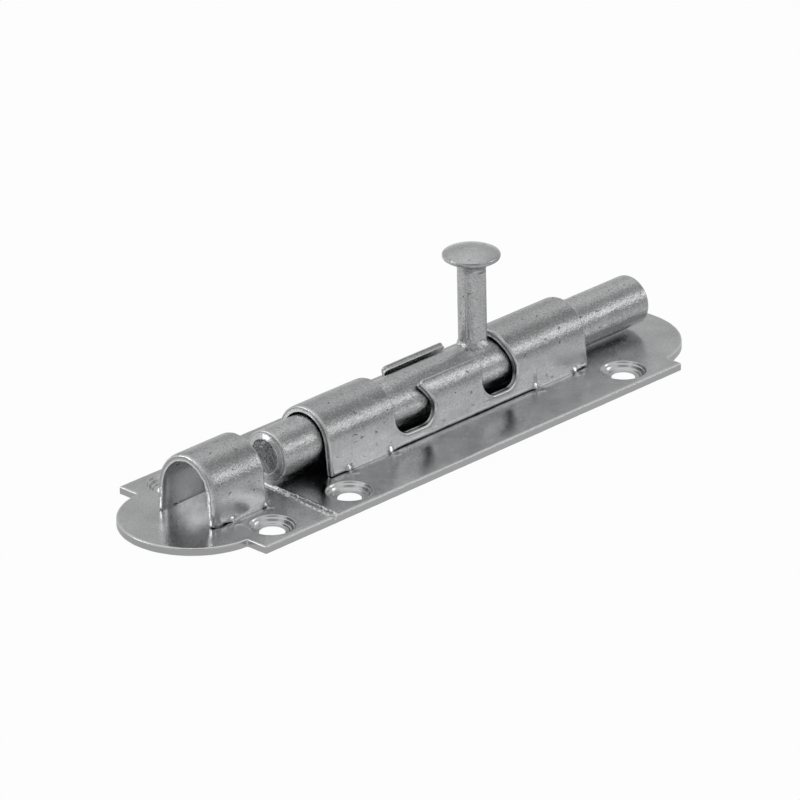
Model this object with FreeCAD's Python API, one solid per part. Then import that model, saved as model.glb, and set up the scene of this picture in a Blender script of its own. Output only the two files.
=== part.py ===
import FreeCAD, Part
import math
import os

Vector = FreeCAD.Vector

# Sliding door bolt, in millimetres. X runs along the bolt and the keeper is at its minus X end.
# Z rises out of the plate. The origin is the centre of the plate's back face.

# Base plate
plate_length = 127.0
plate_width = 35.0
plate_thickness = 1.4
end_bulge = 12.35          # length of each rounded end, from its step to its tip
left_end_step = 4.35       # how much narrower the keeper's end is than the plate, on each side
right_end_step = 2.7
step_corner_radius = 0.4
score_from_end = 29.5      # snapping line between the keeper section and the rest
score_width = 1.2
score_depth = 0.6

# Countersunk screw holes, in pairs across the plate
screw_hole_radius = 2.3
screw_sink_radius = 4.15
screw_sink_depth = 1.1
screw_from_edge = 5.4
keeper_screw_from_end = 19.15
left_screw_from_end = 37.45
right_screw_from_end = 21.6

# Bolt rod
rod_radius = 4.5
rod_lift = 0.6             # air between the rod and the plate
rod_nose_reach = 9.45      # rod shown in front of the housing
rod_tail_reach = 18.0      # rod shown behind the housing
rod_edge = 0.45
nose_taper = 0.8           # length of the tapered end of the nose
nose_face_radius = 3.1     # flat face that is left at its tip

# Guide housing, one pressed sheet bent over the rod
sheet = 1.2
rod_clearance = 0.3
leg_splay = 0.6            # how far a foot stands outside the arch
housing_from_left = 38.95
housing_from_right = 24.5
window_pair_shift = 0.4   # the pair of windows sits this far left of the housing's middle
left_window_play = 4.35    # window width beyond the stud's diameter
right_window_play = 3.3
window_spacing = 20.9      # between the middles of the windows, about the bolt's throw
window_sill = 2.05         # height of the windows' lower edge above the plate
sill_left_radius = 3.2
sill_right_radius = 2.5
lean_margin = 0.1          # straight stretch between a window's round corner and its leaning side
left_tab_overhang = 2.5    # how far the tabs' top corners reach out over the windows
right_tab_overhang = 0.85
arch_overhang = 1.0
slot_play = 0.8            # between the stud and the tabs' edges, each side

# Keeper staple
keeper_length = 12.45
keeper_from_end = 11.15
keeper_clearance = 0.5
keeper_rise = 0.15         # the keeper's arch is centred this far above the rod's axis
keeper_splay = 0.4

# Feet and clinched lugs
foot_relief = 0.2          # air under the feet between the lugs
shoulder = 1.0
slot_clearance = 0.1
housing_lug_length = 10.0
left_lug_inset = 4.75
right_lug_inset = 2.8
keeper_lug_length = 7.6
keeper_lug_inset = 0.7     # from the keeper's edge nearer the housing
keeper_slot_extra = 0.9    # spare slot length that shows behind the keeper's foot

# Knob stud, standing on the rod
stud_radius = 2.5
stud_from_stop = 1.1       # stud's rest place, from the right window's left edge to its side
stud_flat_depth = 0.3
running_gap = 0.05
collar_growth = 0.1
collar_height = 1.0
head_radius = 4.9
head_height = 18.2         # top of the head above the rod
head_dome = 1.4
head_rim = 0.5
rim_bulge = 0.15
underside_depth = 1.2      # how far the head tapers in below its rim
flare_share = 0.45         # height of the flare at half its reach, as a share of that depth
throat_growth = 0.45       # from the shank to the top of the throat
throat_length = 1.3
throat_bend = 0.25         # share of that growth reached at throat_bend_height
throat_bend_height = 0.6   # as a share of the throat's length

# How far the cutting shapes reach past what they cut
cut_margin = 1.0
window_margin = 5.0

# Places worked out from the sizes above
half_length = plate_length / 2
half_width = plate_width / 2
step_x = half_length - end_bulge
axis_z = plate_thickness + rod_lift + rod_radius
keeper_axis_z = axis_z + keeper_rise
screw_y = half_width - screw_from_edge
housing_left = housing_from_left - half_length
housing_right = half_length - housing_from_right
arch_inner = rod_radius + rod_clearance
arch_outer = arch_inner + sheet
housing_foot = arch_outer + leg_splay
keeper_left = keeper_from_end - half_length
keeper_right = keeper_left + keeper_length
keeper_outer = rod_radius + keeper_clearance + sheet
keeper_foot = keeper_outer + keeper_splay
windows_middle = (housing_left + housing_right) / 2 - window_pair_shift
left_window_width = 2 * stud_radius + left_window_play
right_window_width = 2 * stud_radius + right_window_play
left_window_x = windows_middle - window_spacing / 2 - left_window_width / 2
right_window_x = windows_middle + window_spacing / 2 - right_window_width / 2
sill_z = plate_thickness + window_sill
stud_x = right_window_x + stud_from_stop + stud_radius
rod_left = housing_left - rod_nose_reach
rod_right = housing_right + rod_tail_reach
above = axis_z + arch_outer + window_margin


def box(x_range, y_range, z_range):
    size = [top - bottom for bottom, top in (x_range, y_range, z_range)]
    return Part.makeBox(*size, Vector(x_range[0], y_range[0], z_range[0]))


# Lean from the vertical of a leg that touches the arch and ends at the foot.
def leg_lean(radius, foot, centre_z):
    drop = centre_z - plate_thickness
    return math.acos(radius / math.hypot(foot, drop)) - math.atan2(drop, foot)


# Inner side of a foot, where the leg stands on the plate.
def foot_inside(radius, foot, centre_z):
    return foot - sheet / math.cos(leg_lean(radius, foot, centre_z))


# Bent sheet: an arch over the rod with a leg down each side.
def tunnel(radius, foot, centre_z, x_start, x_end):
    lean = leg_lean(radius, foot, centre_z)
    inner_radius = radius - sheet
    inner_foot = foot_inside(radius, foot, centre_z)

    def point(y, z):
        return Vector(x_start, y, z)

    def touch(arc_radius, side):
        return point(side * arc_radius * math.cos(lean), centre_z + arc_radius * math.sin(lean))

    def arch(arc_radius, side):
        crown = point(0, centre_z + arc_radius)
        return Part.Arc(touch(arc_radius, side), crown, touch(arc_radius, -side)).toShape()

    outside = [point(foot, plate_thickness), point(-foot, plate_thickness)]
    inside = [point(-inner_foot, plate_thickness), point(inner_foot, plate_thickness)]
    edges = [
        Part.makeLine(outside[0], touch(radius, 1)),
        arch(radius, 1),
        Part.makeLine(touch(radius, -1), outside[1]),
        Part.makeLine(outside[1], inside[0]),
        Part.makeLine(inside[0], touch(inner_radius, -1)),
        arch(inner_radius, -1),
        Part.makeLine(touch(inner_radius, 1), inside[1]),
        Part.makeLine(inside[1], outside[0]),
    ]
    section = Part.Face(Part.Wire(edges))
    return section.extrude(Vector(x_end - x_start, 0, 0))


# Lugs go down through the plate. Between them the feet stand a little clear of it.
def add_lugs(body, inside, foot, x_range, lugs):
    stops = [x_range[0]]
    for lug_start, lug_end in lugs:
        stops += [lug_start - shoulder, lug_end + shoulder]
    stops.append(x_range[1])
    for relief_start, relief_end in zip(stops[0::2], stops[1::2]):
        if relief_end > relief_start:
            relief = box((relief_start, relief_end), (-foot - cut_margin, foot + cut_margin),
                         (plate_thickness - cut_margin, plate_thickness + foot_relief))
            body = body.cut(relief)
    for lug_start, lug_end in lugs:
        for y_range in ((inside, foot), (-foot, -inside)):
            body = body.fuse(box((lug_start, lug_end), y_range, (0, plate_thickness)))
    return body.removeSplitter()


# Slots in the plate for one bent sheet's lugs.
def lug_slots(inside, foot, lugs, extra):
    slots = []
    for lug_start, lug_end in lugs:
        x_range = (lug_start - slot_clearance, lug_end + slot_clearance + extra)
        near = inside - slot_clearance
        far = foot + slot_clearance
        for y_range in ((near, far), (-far, -near)):
            slots.append(box(x_range, y_range, (-cut_margin, plate_thickness + cut_margin)))
    return slots


def housing_lugs():
    left_start = housing_left + left_lug_inset
    right_end = housing_right - right_lug_inset
    return [(left_start, left_start + housing_lug_length), (right_end - housing_lug_length, right_end)]


def keeper_lugs():
    lug_end = keeper_right - keeper_lug_inset
    return [(lug_end - keeper_lug_length, lug_end)]


# Straight sides with a step at each end, and a round end between the steps.
def plate_blank():
    def point(x, y):
        return Vector(x, y, 0)

    edges = []
    for side, end_step in ((1, right_end_step), (-1, left_end_step)):
        end_half = half_width - end_step
        near_corner = point(side * step_x, -side * half_width)
        far_corner = point(side * step_x, side * half_width)
        arc_start = point(side * step_x, -side * end_half)
        arc_end = point(side * step_x, side * end_half)
        next_corner = point(-side * step_x, side * half_width)
        edges.append(Part.makeLine(near_corner, arc_start))
        edges.append(Part.Arc(arc_start, point(side * half_length, 0), arc_end).toShape())
        edges.append(Part.makeLine(arc_end, far_corner))
        edges.append(Part.makeLine(far_corner, next_corner))
    blank = Part.Face(Part.Wire(edges)).extrude(Vector(0, 0, plate_thickness))
    corners = []
    for edge in blank.Edges:
        upright = abs(edge.tangentAt(edge.FirstParameter).z) > 0.9
        if upright and abs(abs(edge.CenterOfMass.y) - half_width) < 0.01:
            corners.append(edge)
    return blank.makeFillet(step_corner_radius, corners)


def screw_hole(x, y):
    depth = plate_thickness + 2 * cut_margin
    through = Part.makeCylinder(screw_hole_radius, depth, Vector(x, y, -cut_margin))
    sink_bottom = Vector(x, y, plate_thickness - screw_sink_depth)
    sink = Part.makeCone(screw_hole_radius, screw_sink_radius, screw_sink_depth, sink_bottom)
    return through.fuse(sink)


# V-shaped score right across the top of the plate.
def score_groove():
    x = score_from_end - half_length
    start_y = -half_width - cut_margin
    corners = [Vector(x - score_width / 2, start_y, plate_thickness),
               Vector(x + score_width / 2, start_y, plate_thickness),
               Vector(x, start_y, plate_thickness - score_depth)]
    section = Part.Face(Part.makePolygon(corners + corners[:1]))
    return section.extrude(Vector(0, plate_width + 2 * cut_margin, 0))


def base_plate():
    plate = plate_blank()
    screw_rows = (keeper_screw_from_end - half_length, left_screw_from_end - half_length,
                  half_length - right_screw_from_end)
    for x in screw_rows:
        for y in (screw_y, -screw_y):
            plate = plate.cut(screw_hole(x, y))
    plate = plate.cut(score_groove())
    housing_inside = foot_inside(arch_outer, housing_foot, axis_z)
    keeper_inside = foot_inside(keeper_outer, keeper_foot, keeper_axis_z)
    slots = lug_slots(housing_inside, housing_foot, housing_lugs(), 0)
    slots += lug_slots(keeper_inside, keeper_foot, keeper_lugs(), keeper_slot_extra)
    for slot in slots:
        plate = plate.cut(slot)
    return plate


# Half the angle, about the rod, of the slot that the stud slides along.
def slot_half_angle():
    return math.asin((stud_radius + slot_play) / arch_inner)


# A window cuts through both legs and the crown. Its sides may lean in towards the top.
def window(x_start, width, left_lean, right_lean):
    lean_z = sill_z + max(sill_left_radius, sill_right_radius) + lean_margin
    tab_z = axis_z + arch_outer * math.cos(slot_half_angle())
    rise = (above - lean_z) / (tab_z - lean_z)
    x_end = x_start + width
    outline = [Vector(x_start, -half_width, sill_z),
               Vector(x_end, -half_width, sill_z),
               Vector(x_end, -half_width, lean_z),
               Vector(x_end - right_lean * rise, -half_width, above),
               Vector(x_start + left_lean * rise, -half_width, above),
               Vector(x_start, -half_width, lean_z)]
    cutter = Part.Face(Part.makePolygon(outline + outline[:1])).extrude(Vector(0, plate_width, 0))
    for corner_x, radius in ((x_start, sill_left_radius), (x_end, sill_right_radius)):
        corners = []
        for edge in cutter.Edges:
            middle = edge.CenterOfMass
            along_y = abs(edge.tangentAt(edge.FirstParameter).y) > 0.9
            if along_y and abs(middle.z - sill_z) < 0.01 and abs(middle.x - corner_x) < 0.01:
                corners.append(edge)
        cutter = cutter.makeFillet(radius, corners)
    return cutter


def stud_slot():
    start = left_window_x + left_window_width / 2
    end = right_window_x + right_window_width / 2
    half = (above - axis_z) * math.tan(slot_half_angle())
    corners = [Vector(start, 0, axis_z), Vector(start, half, above), Vector(start, -half, above)]
    return Part.Face(Part.makePolygon(corners + corners[:1])).extrude(Vector(end - start, 0, 0))


def guide_housing():
    body = tunnel(arch_outer, housing_foot, axis_z, housing_left, housing_right)
    body = body.cut(window(left_window_x, left_window_width, 0, left_tab_overhang))
    body = body.cut(window(right_window_x, right_window_width, right_tab_overhang, arch_overhang))
    body = body.cut(stud_slot())
    inside = foot_inside(arch_outer, housing_foot, axis_z)
    return add_lugs(body, inside, housing_foot, (housing_left, housing_right), housing_lugs())


def keeper_staple():
    body = tunnel(keeper_outer, keeper_foot, keeper_axis_z, keeper_left, keeper_right)
    inside = foot_inside(keeper_outer, keeper_foot, keeper_axis_z)
    return add_lugs(body, inside, keeper_foot, (keeper_left, keeper_right), keeper_lugs())


# Round bar with a tapered nose, turned about its own axis.
def bolt_rod():
    def point(x, radius):
        return Vector(x, 0, axis_z + radius)

    outline = [point(rod_left, 0),
               point(rod_left, nose_face_radius),
               point(rod_left + nose_taper, rod_radius),
               point(rod_right - rod_edge, rod_radius),
               point(rod_right, rod_radius - rod_edge),
               point(rod_right, 0)]
    section = Part.Face(Part.makePolygon(outline + outline[:1]))
    return section.revolve(Vector(0, 0, axis_z), Vector(1, 0, 0), 360)


# Headed stud with two pressed flats, standing on the rod.
def knob_stud():
    rod_top = axis_z + rod_radius
    head_top = rod_top + head_height
    rim_top = head_top - head_dome
    rim_bottom = rim_top - head_rim
    throat_top = rim_bottom - underside_depth
    throat_bottom = throat_top - throat_length
    foot_radius = stud_radius + collar_growth
    throat_radius = stud_radius + throat_growth

    def point(radius, z):
        return Vector(stud_x + radius, 0, z)

    rim_high = point(head_radius, rim_top)
    rim_low = point(head_radius, rim_bottom)
    rim_middle = point(head_radius + rim_bulge, (rim_top + rim_bottom) / 2)
    under_middle = point((head_radius + throat_radius) / 2, throat_top + underside_depth * flare_share)
    throat_middle = point(stud_radius + throat_growth * throat_bend,
                          throat_bottom + throat_length * throat_bend_height)
    dome_radius = (head_radius ** 2 + head_dome ** 2) / (2 * head_dome)
    half_dome_angle = math.asin(head_radius / dome_radius) / 2
    dome_middle = point(dome_radius * math.sin(half_dome_angle),
                        head_top - dome_radius * (1 - math.cos(half_dome_angle)))
    foot = [point(0, axis_z), point(foot_radius, axis_z), point(foot_radius, rod_top + collar_height / 2),
            point(stud_radius, rod_top + collar_height), point(stud_radius, throat_bottom)]
    edges = [Part.makeLine(first, second) for first, second in zip(foot, foot[1:])]
    edges += [
        Part.Arc(foot[-1], throat_middle, point(throat_radius, throat_top)).toShape(),
        Part.Arc(point(throat_radius, throat_top), under_middle, rim_low).toShape(),
        Part.Arc(rim_low, rim_middle, rim_high).toShape(),
        Part.Arc(rim_high, dome_middle, point(0, head_top)).toShape(),
        Part.makeLine(point(0, head_top), foot[0]),
    ]
    stud = Part.Face(Part.Wire(edges)).revolve(Vector(stud_x, 0, 0), Vector(0, 0, 1), 360)
    flat_y = stud_radius - stud_flat_depth
    flat_z = (rod_top + collar_height, throat_bottom)
    flat_x = (stud_x - head_radius, stud_x + head_radius)
    for y_range in ((flat_y, head_radius), (-head_radius, -flat_y)):
        stud = stud.cut(box(flat_x, y_range, flat_z))
    rod_space = Part.makeCylinder(rod_radius + running_gap, 4 * stud_radius,
                                  Vector(stud_x - 2 * stud_radius, 0, axis_z), Vector(1, 0, 0))
    return stud.cut(rod_space)


pieces = {
    "base_plate": base_plate,
    "guide_housing": guide_housing,
    "keeper_staple": keeper_staple,
    "bolt_rod": bolt_rod,
    "knob_stud": knob_stud,
}

os.makedirs("parts", exist_ok=True)
for name, make in pieces.items():
    shape = make()
    if len(shape.Solids) != 1 or not shape.isValid():
        raise ValueError(name + " is not one sound solid")
    shape.Solids[0].exportStep("parts/" + name + ".step")
    print(name, "volume", round(shape.Volume, 1))

print("stud at x", round(stud_x, 3), "rod axis at z", round(axis_z, 3))
print("stud stops at x", round(left_window_x + stud_radius, 3), "and",
      round(right_window_x + right_window_width - arch_overhang - stud_radius, 3))
print("housing from", housing_left, "to", housing_right, "keeper from", keeper_left, "to", keeper_right)
print("screw rows at x", keeper_screw_from_end - half_length, left_screw_from_end - half_length,
      half_length - right_screw_from_end, "and y", screw_y)
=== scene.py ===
import math

import bpy
import numpy as np
from mathutils import Matrix, Vector, geometry, kdtree, noise


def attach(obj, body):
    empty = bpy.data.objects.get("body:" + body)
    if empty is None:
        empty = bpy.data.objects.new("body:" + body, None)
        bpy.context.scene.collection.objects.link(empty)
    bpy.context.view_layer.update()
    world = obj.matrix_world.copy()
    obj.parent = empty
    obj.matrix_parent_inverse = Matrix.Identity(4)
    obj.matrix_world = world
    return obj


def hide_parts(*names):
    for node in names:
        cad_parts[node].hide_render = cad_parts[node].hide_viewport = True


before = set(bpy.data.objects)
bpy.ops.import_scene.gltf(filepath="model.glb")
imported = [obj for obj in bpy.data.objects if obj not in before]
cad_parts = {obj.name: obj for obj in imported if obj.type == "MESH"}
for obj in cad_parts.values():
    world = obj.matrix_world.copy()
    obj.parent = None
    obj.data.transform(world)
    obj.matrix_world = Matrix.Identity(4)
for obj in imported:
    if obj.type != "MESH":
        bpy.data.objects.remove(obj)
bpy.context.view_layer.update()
mm = 0.001
print("frame loaded:", ", ".join(sorted(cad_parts)))

# Sizes are in millimetres, in the frame of the CAD: X along the bolt, Z out of the plate.
# A mesh point carries two values: "cut" is 0 on the face of the metal, 1 on a rolled bright edge and 2 where
# it was sheared, and "bend" is how much the metal was bent or coined there.


def makePiece(name, points, faces, attributes):
    mesh = bpy.data.meshes.new(name)
    mesh.from_pydata((np.asarray(points) * mm).tolist(), [], [list(map(int, face)) for face in faces])
    mesh.validate()
    mesh.polygons.foreach_set("use_smooth", [True] * len(mesh.polygons))
    for label, values in attributes.items():
        layer = mesh.attributes.new(label, "FLOAT", "POINT")
        layer.data.foreach_set("value", np.asarray(values, np.float32))
    mesh.update()
    piece = bpy.data.objects.new(name, mesh)
    bpy.context.scene.collection.objects.link(piece)
    print("made", name, "with", len(mesh.polygons), "faces")
    return piece


def noiseAt(points, size, seed):
    offset = Vector((seed * 17.3, seed * -9.1, seed * 5.7))
    return np.array([noise.noise(Vector(p) / size + offset) for p in points.tolist()])


# Unevenness from rows of depth, size and seed
def ripple(points, waves):
    return sum(depth * noiseAt(points, size, seed) for depth, size, seed in waves)


# 0 to 1 over a reach, and level beyond it
def ramp(distance, reach=1.0):
    return np.clip(distance / reach, 0, 1)


# 1 in the middle, fading out over a width
def bell(offset, width):
    return np.exp(-(offset / width) ** 2)


def unit(v):
    return v / np.linalg.norm(v)


# A closed line through (x, y, corner radius) rows, with points about one step apart
def roundedPath(corners, step):
    spots = []
    total = len(corners)
    for i, (x, y, radius) in enumerate(corners):
        here = np.array([x, y], float)
        before = unit(np.array(corners[i - 1][:2], float) - here)
        after = unit(np.array(corners[(i + 1) % total][:2], float) - here)
        half = math.acos(np.clip(before @ after, -1, 1)) / 2
        if radius <= 0 or half > math.radians(89):  # nothing to round, or nearly straight on
            spots.append(here)
            continue
        reach = radius / math.tan(half)
        centre = here + unit(before + after) * radius / math.sin(half)
        start = here + before * reach - centre
        end = here + after * reach - centre
        sweep = math.pi - 2 * half
        turn = 1 if start[0] * end[1] - start[1] * end[0] > 0 else -1
        parts = max(3, math.ceil(sweep * radius / step), math.ceil(math.degrees(sweep) / 15))
        for k in range(parts + 1):
            angle = turn * sweep * k / parts
            c, s = math.cos(angle), math.sin(angle)
            spots.append(centre + np.array([c * start[0] - s * start[1], s * start[0] + c * start[1]]))
    path = []
    for here, there in zip(spots, spots[1:] + spots[:1]):
        parts = max(1, round(np.linalg.norm(there - here) / step))
        path += [here + (there - here) * k / parts for k in range(parts)]
    return np.array(path)


# The arc through three points
def arcBetween(first, middle, last, parts):
    (ax, ay), (bx, by), (cx, cy) = first, middle, last
    a, b, c = ax * ax + ay * ay, bx * bx + by * by, cx * cx + cy * cy
    d = 2 * (ax * (by - cy) + bx * (cy - ay) + cx * (ay - by))
    ux = (a * (by - cy) + b * (cy - ay) + c * (ay - by)) / d
    uy = (a * (cx - bx) + b * (ax - cx) + c * (bx - ax)) / d
    radius = math.hypot(ax - ux, ay - uy)
    start, through, end = (math.atan2(y - uy, x - ux) for x, y in (first, middle, last))
    span = (end - start) % (2 * math.pi)
    if (through - start) % (2 * math.pi) > span:
        span -= 2 * math.pi
    angles = [start + span * k / parts for k in range(parts + 1)]
    return [(ux + radius * math.cos(angle), uy + radius * math.sin(angle)) for angle in angles]


def turned(path, anticlockwise):
    x, y = path.T
    area = (x * np.roll(y, -1) - np.roll(x, -1) * y).sum()
    return path if (area > 0) == anticlockwise else path[::-1]


def inwardNormals(path):
    ahead = np.roll(path, -1, axis=0) - path
    ahead /= np.linalg.norm(ahead, axis=1)[:, None]
    left = np.stack([-ahead[:, 1], ahead[:, 0]], axis=1)
    normal = left + np.roll(left, 1, axis=0)
    normal /= np.linalg.norm(normal, axis=1)[:, None]
    stretch = 1 / np.clip((normal * left).sum(axis=1), 0.7, 1)
    return normal * stretch[:, None]


# How far each point may move inwards before it meets the other side of a corner
def insetLimit(path, normals):
    gap = path[None, :, :] - path[:, None, :]
    depth = (gap * normals[:, None, :]).sum(axis=2)
    reach = (gap ** 2).sum(axis=2) / (2 * np.clip(depth, 1e-6, None))
    reach[depth < 1e-4] = 1e3
    return 0.85 * np.clip(reach.min(axis=1), 0.02, 1e3)


def insideLoops(points, loops):
    inside = np.zeros(len(points), bool)
    batch = 4000  # keeps the tables small
    for loop in loops:
        ahead = np.roll(loop, -1, axis=0)
        for start in range(0, len(points), batch):
            px = points[start:start + batch, 0][:, None]
            py = points[start:start + batch, 1][:, None]
            crosses = (loop[:, 1] > py) != (ahead[:, 1] > py)
            rise = np.where(ahead[:, 1] == loop[:, 1], 1, ahead[:, 1] - loop[:, 1])
            xAt = loop[:, 0] + (py - loop[:, 1]) / rise * (ahead[:, 0] - loop[:, 0])
            inside[start:start + batch] ^= ((crosses & (px < xAt)).sum(axis=1) % 2).astype(bool)
    return inside


# The points inside the rings that keep a gap to the others
def keepClear(points, rings, others, gap):
    tree = kdtree.KDTree(len(others))
    for i, p in enumerate(others):
        tree.insert((p[0], p[1], 0), i)
    tree.balance()
    points = points[insideLoops(points, rings)]
    return points[[tree.find((p[0], p[1], 0))[2] > gap for p in points]]


# Triangles between the rings of one flat face, on a loose grid and the extra points
def fillFlat(rings, step, extra):
    border = np.concatenate(rings)
    low, high = border.min(axis=0), border.max(axis=0)
    grid = []
    for k, y in enumerate(np.arange(low[1], high[1], step * 0.866)):
        row = np.arange(low[0] + (k % 2) * step / 2, high[0], step)
        grid.append(np.column_stack([row, np.full(len(row), y)]))
    grid = keepClear(np.concatenate(grid), rings, np.concatenate([border, extra]), 0.55 * step)
    grid = np.concatenate([grid, keepClear(extra, rings, border, 0.12)])
    edges, first = [], 0
    for ring in rings:
        count = len(ring)
        edges += [(first + k, first + (k + 1) % count) for k in range(count)]
        first += count
    spots = np.concatenate([border, grid])
    out = geometry.delaunay_2d_cdt([Vector(p) for p in spots], edges, [], 0, 1e-6)
    source = [old[0] if old else -1 for old in out[3]]
    if min(source) < 0:
        raise ValueError("outline crosses itself")
    triangles = np.array([[source[v] for v in face] for face in out[2]])
    corners = spots[triangles]
    middle = corners.mean(axis=1)
    size = np.cross(corners[:, 1] - corners[:, 0], corners[:, 2] - corners[:, 0])
    triangles[size < 0] = triangles[size < 0][:, ::-1]
    kept = insideLoops(middle, rings) & (np.abs(size) > 1e-7)
    return grid, triangles[kept]


# A sheet cut from a flat blank: every loop is an edge with its own profile, from the top face to the bottom
def blankSheet(loops, step, extra):
    extra = np.array(extra, float).reshape(-1, 2)
    points, cuts, faces, tops, bottoms = [], [], [], [], []
    count = 0
    for loop in loops:
        profile = loop["profile"]
        path = turned(np.asarray(loop["path"], float), loop.get("outer", False))
        normals = inwardNormals(path)
        limit = insetLimit(path, normals)
        total = len(path)
        around = np.arange(total)
        lift = np.clip(noiseAt(np.column_stack([path, np.zeros(total)]), 1.3, 3) + 0.5, 0, 1.2)
        lift = lift * loop.get("wobble", 0)
        for k, (inset, level, cut) in enumerate(profile):
            if inset > 0:
                inset = limit * np.tanh(inset / limit)
            onEdge = 0 < k < len(profile) - 1
            spot = path + normals * (inset + lift * onEdge)[:, None]
            points.append(np.column_stack([spot, np.full(total, level)]))
            cuts.append(np.full(total, cut))
            if k:
                a = count + (k - 1) * total + around
                b = count + (k - 1) * total + (around + 1) % total
                faces += np.column_stack([a, a + total, b + total, b]).tolist()
        tops.append((count, points[-len(profile)]))
        count += total * len(profile)
        bottoms.append((count - total, points[-1]))
    topLevel, bottomLevel = loops[0]["profile"][0][1], loops[0]["profile"][-1][1]
    for rings, level, flip in ((tops, topLevel, False), (bottoms, bottomLevel, True)):
        grid, triangles = fillFlat([ring[:, :2] for start, ring in rings], step, extra)
        index = [start + np.arange(len(ring)) for start, ring in rings]
        triangles = np.concatenate(index + [count + np.arange(len(grid))])[triangles]
        faces += (triangles[:, ::-1] if flip else triangles).tolist()
        points.append(np.column_stack([grid, np.full(len(grid), level)]))
        cuts.append(np.zeros(len(grid)))
        count += len(grid)
    return np.concatenate(points), np.concatenate(cuts), faces


# A round patch of extra points, for small shapes that the grid is too coarse for
def spotCluster(x, y, reach, step):
    cells = np.arange(-reach, reach + step / 2, step)
    return [(x + a, y + b) for a in cells for b in cells if math.hypot(a, b) <= reach]


# The base plate. Edges and sinks are rows of inset or radius, height and cut, from the top to the back.

plateLook = {
    "thickness": 1.4,
    "halfLength": 63.5,
    "halfWidth": 17.5,
    "stepX": 51.15,  # the round tips start here
    "leftStep": 4.35,  # the keeper's end is this much narrower on each side
    "rightStep": 3.3,
    "cornerRadius": 0.35,
    "innerCornerRadius": 0.3,
    "wobble": 0.06,
    "edge": (
        (0.66, 1.4, 0.0), (0.47, 1.398, 0.1), (0.32, 1.39, 0.3), (0.19, 1.365, 0.7), (0.1, 1.33, 1.0),
        (0.04, 1.26, 1.1), (0.02, 1.16, 1.7), (0.0, 1.0, 2.0), (0.0, 0.7, 2.0), (0.0, 0.4, 2.2),
        (0.0, 0.14, 2.2), (0.03, 0.04, 1.6), (0.11, 0.0, 0.4), (0.3, 0.0, 0.0),
    ),
    "screwRows": ((-44.35, 0.12), (-26.05, 0.25), (41.9, 0.25)),  # place along X, and closing in of the lip
    "screwY": 12.1,
    "sinkRadius": 4.15,
    "sinkSides": 84,
    "lipRadius": 3.2,  # the lip closes in from here, over this reach
    "lipReach": 0.8,
    "coinedRadius": 4.35,  # smooth metal round the sink
    "sink": (  # with the rings that the coining tool leaves
        (4.18, 1.4, 0.0), (4.08, 1.397, 0.1), (4.0, 1.38, 0.2), (3.95, 1.34, 0.3), (3.9, 1.26, 0.3),
        (3.77, 1.03, 0.3), (3.72, 0.98, 0.3), (3.62, 0.955, 0.3), (3.55, 0.92, 0.25), (3.5, 0.84, 0.25),
        (3.29, 0.48, 0.25), (3.24, 0.42, 0.3), (3.11, 0.39, 0.3), (3.04, 0.36, 0.3), (2.99, 0.28, 0.3),
        (2.9, 0.13, 0.3), (2.85, 0.1, 0.3), (2.72, 0.09, 0.4), (2.6, 0.085, 0.4), (2.5, 0.08, 0.5),
        (2.4, 0.07, 0.5), (2.33, 0.05, 0.5), (2.3, 0.03, 0.5), (2.32, 0.01, 0.5), (2.4, 0.0, 0.0),
    ),
    "slotGap": 0.06,  # at the ends of the lug
    "slotInside": 0.05,
    "slotOutside": 0.04,
    "slotCorner": 0.2,
    "slotRoll": 0.06,
    "keeperSlotExtra": 0.1,
    "scoreX": -33.85,
    "scoreBow": 0.95,  # the scored line drifts this far to the left at the front edge
    "scoreRearBow": 0.2,
    "scoreHalfWidth": 0.48,
    "scoreDepth": 0.5,
    "scoreBurr": 0.16,  # height of the metal pushed up beside the line, its place and its width
    "burrPlace": 0.13,
    "burrWidth": 0.16,
    "scoreNotch": 0.25,  # where the line runs out over the front edge
    "scoreLips": (0.9, 0.85),  # brightness and half width beside the line
    "scoreBottom": (0.8, 0.22),  # darkness and half width of its bottom
    "scoreAcross": (0.0, 0.14, 0.28, 0.4, 0.5, 0.62, 0.75, 0.9, 1.1),
    "scoreStep": 0.22,
    "waveSize": 14.0,
    "waveDepth": 0.028,
    "crumbHeight": 0.24,  # metal squeezed out under each clinched foot, and the dent beside it
    "dentDepth": 0.14,
    "crumb": (0.15, 0.3, 0.42),  # along X, out from the foot, and width
    "dent": (0.5, 0.95, 0.5),
    "gridStep": 0.85,
}


def plateOutline():
    look = plateLook
    corners = []
    for side, step in ((1, look["rightStep"]), (-1, look["leftStep"])):
        stepX, edgeY = side * look["stepX"], side * look["halfWidth"]
        tipY = side * (look["halfWidth"] - step)
        arc = arcBetween((stepX, -tipY), (side * look["halfLength"], 0), (stepX, tipY), 60)
        corners.append((stepX, -edgeY, look["cornerRadius"]))
        corners.append((*arc[0], look["innerCornerRadius"]))
        corners += [(*spot, 0) for spot in arc[1:-1]]
        corners.append((*arc[-1], look["innerCornerRadius"]))
        corners.append((stepX, edgeY, look["cornerRadius"]))
    return roundedPath(corners, 0.5)


def screwHoles():
    sides = (-plateLook["screwY"], plateLook["screwY"])
    return [(x, y, closing) for x, closing in plateLook["screwRows"] for y in sides]


# Place, height, side and distance from the middle of every clinched foot
def clinchedFeet():
    return [(x, height, side, sheet["foot"]) for sheet in (housingLook, keeperLook)
            for x, height in sheet["stakes"] for side in (-1, 1)]


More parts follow.
